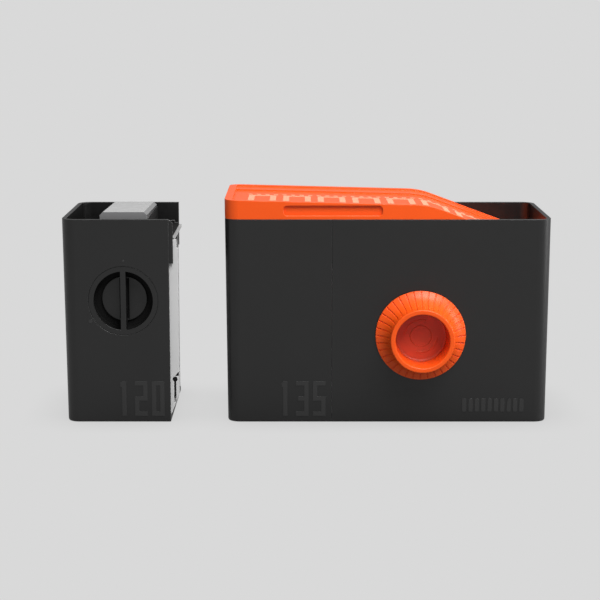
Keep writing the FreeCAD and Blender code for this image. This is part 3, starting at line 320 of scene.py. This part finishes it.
def all_materials():
    """The materials by slot name, and those of FINISH_OF."""
    black = (0.0065, 0.0065, 0.0065)
    # The darker black is painted shade: the tank's inside, the guides' tops inside the modules
    # and the inner pieces.
    painted_shade_black = (0.0035, 0.0035, 0.0035)
    satin = dict(colour=black, worn_and_highlight_colour=(0.05, 0.05, 0.051), rough=0.38, edge=0.00045,
                 edge_wear_and_highlight=0.8, painted_shade_colour=painted_shade_black)
    return {
        "black_plastic": moulded_plastic("satin_black", region=TANK_INSIDE_SHADE, **satin),
        "loose_shell": moulded_plastic("satin_black_loose",
                                       region=shifted(TANK_INSIDE_SHADE, LOOSE_MODULE), **satin),
        # Inner pieces, such as the dial's moat, get the darker black: painted shade in recesses.
        "inner_black": moulded_plastic("inner_shade_black", painted_shade_black, (0.02, 0.02, 0.02),
                                       0.7, grain=1900.0, edge_wear_and_highlight=0.4, specular=0.2),
        "dial_black": moulded_plastic("dial_black", black, (0.04, 0.04, 0.04), 0.38,
                                      edge=0.0003, edge_wear_and_highlight=0.45),
        "mark_black": moulded_plastic("raised_black", (0.018, 0.018, 0.018), (0.03, 0.03, 0.03),
                                      0.42, edge=0.0002, edge_wear_and_highlight=0.5),
        # The floor of the knob's cup is painted darker: painted shade from the cup's walls.
        "orange_plastic": moulded_plastic("orange", (0.92, 0.096, 0.006), (1.0, 0.17, 0.03), 0.36,
                                          grain=3200.0, grain_depth=0.000015, edge=0.0005,
                                          edge_wear_and_highlight=0.45, variation=0.025, specular=0.35,
                                          region=KNOB_CUP_SHADE, painted_shade_colour=(0.58, 0.07, 0.028)),
        "print_cream": printed_ink("cream_ink"),
        # The guides' tops behind the cheeks are painted black: painted shade inside the modules.
        "guide_white": moulded_plastic("guide_grey", (0.6, 0.6, 0.6), (0.7, 0.7, 0.7), 0.36,
                                       grain_depth=0.00002, edge=0.0004, variation=0.03,
                                       region=GUIDE_SLOT_SHADE, painted_shade_colour=painted_shade_black),
        # The cap's faces that look up are painted lighter: a painted highlight on its top.
        "cap_grey": moulded_plastic("cap_grey", (0.185, 0.185, 0.188), (0.4, 0.4, 0.4), 0.16,
                                    grain_depth=0.00001, edge=0.0003, variation=0.03,
                                    painted_top_light=(0.47, 0.47, 0.47)),
        "reel_plastic": moulded_plastic("reel_ivory", (0.72, 0.71, 0.67), (0.85, 0.84, 0.8), 0.3,
                                        grain_depth=0.00001, edge=0.0002, variation=0.03),
        "felt": felt_cloth("black_felt"),
        "seal_rubber": seal_rubber("seal_rubber"),
        "steel": brushed_steel("brushed_steel"),
    }


def dress_nodes(materials):
    """Gives each CAD node the material of its slot, or its own."""
    for node, piece in NODES.items():
        piece.data.materials.clear()
        piece.data.materials.append(materials[FINISH_OF.get(node, SLOT_OF[node])])


# ---------------------------------------------------------------- pieces
def mesh_piece(name, vertices, faces, material):
    """A mesh object with one material, smooth on its four-sided faces."""
    mesh = bpy.data.meshes.new(name)
    mesh.from_pydata(vertices, [], faces)
    mesh.update()
    for polygon in mesh.polygons:
        polygon.use_smooth = len(polygon.vertices) == 4
    mesh.materials.append(material)
    piece = bpy.data.objects.new(name, mesh)
    bpy.context.scene.collection.objects.link(piece)
    return piece


def coil_spring(name, start, end, radii, wire, turns, material):
    """Wire spring wound from start to end, with its first and last turns closed.

    radii are the winding's radius at the start and at the end, wire is the wire's radius."""
    axis = end - start
    length = axis.length
    axis.normalize()
    side = axis.orthogonal().normalized()
    other = axis.cross(side)
    closed = 2 * wire / length
    steps = turns * TURN_STEPS
    vertices = []
    for index in range(steps + 1):
        t = index / steps
        turn = t * turns
        if turn < 1:
            rise = closed * turn
        elif turn > turns - 1:
            rise = 1 - closed * (turns - turn)
        else:
            rise = closed + (1 - 2 * closed) * (turn - 1) / (turns - 2)
        outward = side * math.cos(2 * math.pi * turn) + other * math.sin(2 * math.pi * turn)
        radius = radii[0] + (radii[1] - radii[0]) * t
        centre = start + axis * (wire + (length - 2 * wire) * rise) + outward * radius
        for corner in range(WIRE_SIDES):
            angle = 2 * math.pi * corner / WIRE_SIDES
            vertices.append(centre + (outward * math.cos(angle) + axis * math.sin(angle)) * wire)
    faces = []
    for index in range(steps):
        near = index * WIRE_SIDES
        far = near + WIRE_SIDES
        for corner in range(WIRE_SIDES):
            following = (corner + 1) % WIRE_SIDES
            faces.append((near + corner, near + following, far + following, far + corner))
    faces.append(tuple(range(WIRE_SIDES)))
    faces.append(tuple(steps * WIRE_SIDES + corner for corner in reversed(range(WIRE_SIDES))))
    return mesh_piece(name, vertices, faces, material)


def stand_in(piece, *nodes):
    """The piece replaces CAD nodes: same body, and the nodes are hidden."""
    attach(piece, BODY_OF[nodes[0]])
    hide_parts(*nodes)


def add_springs(steel):
    """Wound springs in place of the simple rings: the cutter's, and the spool peg's cone."""
    cutter = coil_spring("cutter_coil", CUTTER_SEAT, CUTTER_SEAT + CUTTER_RUN,
                         (CUTTER_RADIUS, CUTTER_RADIUS), CUTTER_WIRE, CUTTER_TURNS, steel)
    stand_in(cutter, "cutter_spring")
    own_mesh(cutter)
    peg = coil_spring("peg_cone", PEG_SEAT, PEG_SEAT + PEG_RUN, PEG_RADII, PEG_WIRE, PEG_TURNS,
                      steel)
    stand_in(peg, "peg_spring")
    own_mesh(peg)


# ---------------------------------------------------------------- studio
def aim(thing, at, target):
    """Puts a camera or a lamp at a place and turns it to a target."""
    thing.location = at
    thing.rotation_mode = "QUATERNION"
    thing.rotation_quaternion = (target - at).to_track_quat("-Z", "Y")


def add_camera():
    """The scene's camera, from the constants above."""
    data = bpy.data.cameras.new("camera")
    data.lens = CAMERA_LENS
    data.sensor_width = SENSOR_WIDTH
    data.clip_start = NEAR_CLIP
    camera = bpy.data.objects.new("camera", data)
    bpy.context.scene.collection.objects.link(camera)
    level = math.cos(CAMERA_DOWN)
    forward = Vector((math.sin(CAMERA_RIGHT) * level, math.cos(CAMERA_RIGHT) * level,
                      -math.sin(CAMERA_DOWN)))
    aim(camera, CAMERA_AT, CAMERA_AT + forward)
    bpy.context.scene.camera = camera


def add_softbox(name, at, wide, high, power):
    """A rectangular lamp that faces the object."""
    data = bpy.data.lights.new(name, "AREA")
    data.shape = "RECTANGLE"
    data.size = wide
    data.size_y = high
    data.energy = power
    lamp = bpy.data.objects.new(name, data)
    bpy.context.scene.collection.objects.link(lamp)
    aim(lamp, Vector(at), LIT_SPOT)


def add_world():
    """Even backdrop to the camera; a room and a soft overhead canopy light the object."""
    world = bpy.data.worlds.new("studio")
    bpy.context.scene.world = world
    world.use_nodes = True
    tree = world.node_tree
    tree.nodes.clear()
    where = add(tree, "ShaderNodeTexCoord")
    split = add(tree, "ShaderNodeSeparateXYZ")
    tree.links.new(where.outputs["Generated"], split.inputs[0])
    level = ramp(tree, split.outputs["Y"], -0.5, 0.6, ROOM_FRONT, ROOM_BACK)
    facing = add(tree, "ShaderNodeVectorMath", operation="DOT_PRODUCT")
    tree.links.new(where.outputs["Generated"], facing.inputs[0])
    facing.inputs[1].default_value = CANOPY_AT
    canopy = ramp(tree, facing.outputs["Value"], 0.0, 1.0, 0.0, CANOPY)
    total = add(tree, "ShaderNodeMath", operation="ADD")
    tree.links.new(level, total.inputs[0])
    tree.links.new(canopy, total.inputs[1])
    room = add(tree, "ShaderNodeBackground")
    tree.links.new(total.outputs[0], room.inputs["Strength"])
    room.inputs["Color"].default_value = (1, 1, 1, 1)
    seen = add(tree, "ShaderNodeBackground")
    seen.inputs["Color"].default_value = (BACKDROP, BACKDROP, BACKDROP, 1)
    rays = add(tree, "ShaderNodeLightPath")
    mix = add(tree, "ShaderNodeMixShader")
    out = add(tree, "ShaderNodeOutputWorld")
    tree.links.new(rays.outputs["Is Camera Ray"], mix.inputs[0])
    tree.links.new(room.outputs[0], mix.inputs[1])
    tree.links.new(seen.outputs[0], mix.inputs[2])
    tree.links.new(mix.outputs[0], out.inputs["Surface"])


def add_floor():
    """Plain pale floor that matches the backdrop, shaded faintly under the object."""
    material = bpy.data.materials.new("floor")
    material.use_nodes = True
    tree = material.node_tree
    tree.nodes.clear()
    cover = add(tree, "ShaderNodeAmbientOcclusion", samples=16)
    cover.inputs["Distance"].default_value = SHADE_REACH
    shaded = ramp(tree, cover.outputs["AO"], 0.3, 1.0, BACKDROP * (1 - CONTACT_SHADE), BACKDROP)
    # Painted shadow: the floor goes black where it is deeply covered, as in crevices.
    crevice = ramp(tree, cover.outputs["AO"], 0.1, 0.4, 0.0, 1.0)
    seen = product(tree, shaded, crevice)
    rays = add(tree, "ShaderNodeLightPath")
    # Painted shade in reflections: the floor looks darker in glossy faces near the object.
    near = add(tree, "ShaderNodeAmbientOcclusion", samples=8)
    near.inputs["Distance"].default_value = GLOSS_REACH
    gloss = ramp(tree, near.outputs["AO"], 0.4, 1.0, 0.5 * FLOOR_GLOSS, FLOOR_GLOSS)
    unseen = add(tree, "ShaderNodeMix", data_type="FLOAT")
    tree.links.new(rays.outputs["Is Glossy Ray"], unseen.inputs["Factor"])
    unseen.inputs["A"].default_value = FLOOR_BOUNCE
    tree.links.new(gloss, unseen.inputs["B"])
    level = add(tree, "ShaderNodeMix", data_type="FLOAT")
    tree.links.new(rays.outputs["Is Camera Ray"], level.inputs["Factor"])
    tree.links.new(unseen.outputs["Result"], level.inputs["A"])
    tree.links.new(seen, level.inputs["B"])
    glow = add(tree, "ShaderNodeEmission")
    tree.links.new(level.outputs["Result"], glow.inputs["Strength"])
    out = add(tree, "ShaderNodeOutputMaterial")
    tree.links.new(glow.outputs[0], out.inputs["Surface"])
    half = FLOOR_HALF
    corners = [(-half, -half, 0), (half, -half, 0), (half, half, 0), (-half, half, 0)]
    floor = mesh_piece("floor", corners, [(0, 1, 2, 3)], material)


# ---------------------------------------------------------------- build
bpy.context.scene.view_settings.view_transform = "Standard"
materials = all_materials()
dress_nodes(materials)
add_springs(materials["steel"])

add_camera()
add_world()
add_floor()
for name, settings in SOFTBOXES.items():
    add_softbox(name, *settings)
